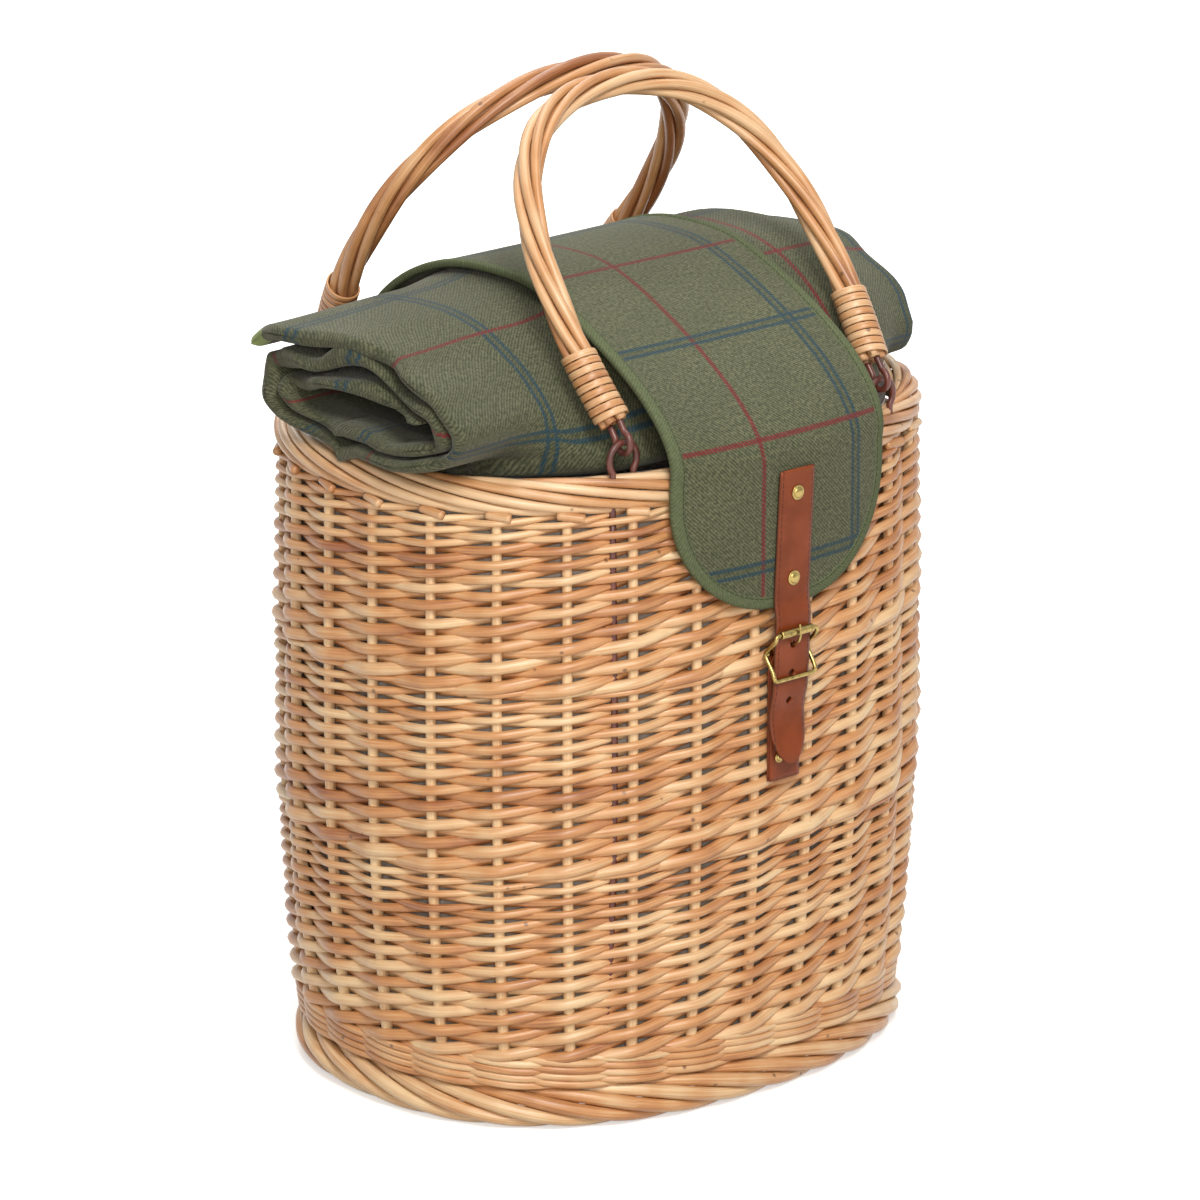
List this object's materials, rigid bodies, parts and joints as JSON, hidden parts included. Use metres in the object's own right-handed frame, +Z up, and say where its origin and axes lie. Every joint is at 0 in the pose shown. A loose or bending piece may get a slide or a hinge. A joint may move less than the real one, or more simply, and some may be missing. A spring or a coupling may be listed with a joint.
{
  "type": "picnic basket",
  "caption": "Tall oval willow picnic basket with swing handles on wire eyes, an insulated liner, a rolled tweed blanket and a tweed flap closed by a leather strap and brass buckle.",
  "frame": {"origin": "on the floor, under the middle of the whole object with its buckle", "axes": "+Z up, +X along the length of the oval, and the buckled front faces -Y"},
  "size_m": [0.401, 0.3429, 0.6012],
  "materials": {
    "willow": "buff willow rods, satin",
    "pale_willow": "pale buff willow rods and skein, satin",
    "coated_wire": "brown coated steel wire",
    "tweed": "olive tweed with a fine check",
    "twill_tape": "olive twill binding tape",
    "liner_cloth": "padded grey insulating cloth",
    "tan_leather": "smooth tan leather",
    "brass": "polished brass"
  },
  "bodies": {
    "basket": {"woven_base": "willow", "foot_border": "willow", "upset_wale": "willow", "wall_lower": "willow", "wall_middle": "willow", "wall_upper": "willow", "top_border": "pale_willow", "liner": "liner_cloth", "hairpin_front_left": "coated_wire", "hairpin_front_right": "coated_wire", "hairpin_rear_left": "coated_wire", "hairpin_rear_right": "coated_wire", "flap_rear": "tweed", "flap_rear_tape_left": "twill_tape", "flap_rear_tape_right": "twill_tape", "chape": "tan_leather", "chape_rivet": "brass", "buckle_frame": "brass"},
    "front_handle": {"handle_front": "pale_willow", "eye_front_left": "coated_wire", "eye_front_right": "coated_wire", "binding_front_left": "pale_willow", "binding_front_right": "pale_willow"},
    "rear_handle": {"handle_rear": "pale_willow", "eye_rear_left": "coated_wire", "eye_rear_right": "coated_wire", "binding_rear_left": "pale_willow", "binding_rear_right": "pale_willow"},
    "blanket": {"blanket_roll": "tweed"},
    "flap": {"flap_front": "tweed", "flap_front_tape": "twill_tape", "closing_strap": "tan_leather", "flap_rivet_upper": "brass", "flap_rivet_lower": "brass"},
    "roller": {"buckle_roller": "brass"},
    "tongue": {"buckle_tongue": "brass"}
  },
  "joints": [
    {"name": "front_handle_swing", "type": "hinge", "parent": "basket", "child": "front_handle", "pos_m": [0, -0.12658, 0.418], "axis": [1, 0, 0], "range_deg": [0, 140]},
    {"name": "rear_handle_swing", "type": "hinge", "parent": "basket", "child": "rear_handle", "pos_m": [0, 0.14388, 0.418], "axis": [-1, 0, 0], "range_deg": [0, 140]},
    {"name": "flap_lift", "type": "hinge", "parent": "basket", "child": "flap", "pos_m": [0, -0.0894, 0.4699], "axis": [-1, 0, 0], "range_deg": [0, 110], "deforming": ["closing_strap"]},
    {"name": "blanket_slide", "type": "slide", "parent": "basket", "child": "blanket", "axis": [-1, 0, 0], "range_m": [0, 0.42]},
    {"name": "buckle_tongue_swing", "type": "hinge", "parent": "basket", "child": "tongue", "pos_m": [0, -0.15815, 0.281], "axis": [1, 0, 0], "range_deg": [0, 70], "deforming": ["closing_strap"]},
    {"name": "buckle_roller_spin", "type": "hinge", "parent": "basket", "child": "roller", "pos_m": [0, -0.16705, 0.294], "axis": [1, 0, 0], "continuous": true}
  ]
}
